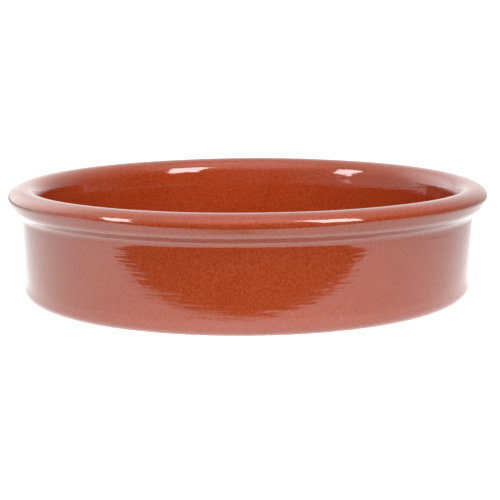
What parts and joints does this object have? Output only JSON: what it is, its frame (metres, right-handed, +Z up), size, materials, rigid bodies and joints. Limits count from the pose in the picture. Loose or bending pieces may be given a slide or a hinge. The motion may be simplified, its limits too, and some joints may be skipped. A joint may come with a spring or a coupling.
{
  "type": "cazuela",
  "caption": "Round, shallow cooking and serving dish of glazed red earthenware, with a thick rolled rim and a flat base.",
  "frame": {"origin": "centre of the flat base, in the plane of the table", "axes": "+Z up along the dish's axis, towards its open side; the dish is round, so X and Y are any two level directions"},
  "size_m": [0.15, 0.15, 0.035],
  "materials": {
    "glazed_terracotta": "clear gloss glaze over red-brown clay, bare clay underneath"
  },
  "bodies": {
    "root": {"cazuela": "glazed_terracotta"}
  },
  "joints": []
}
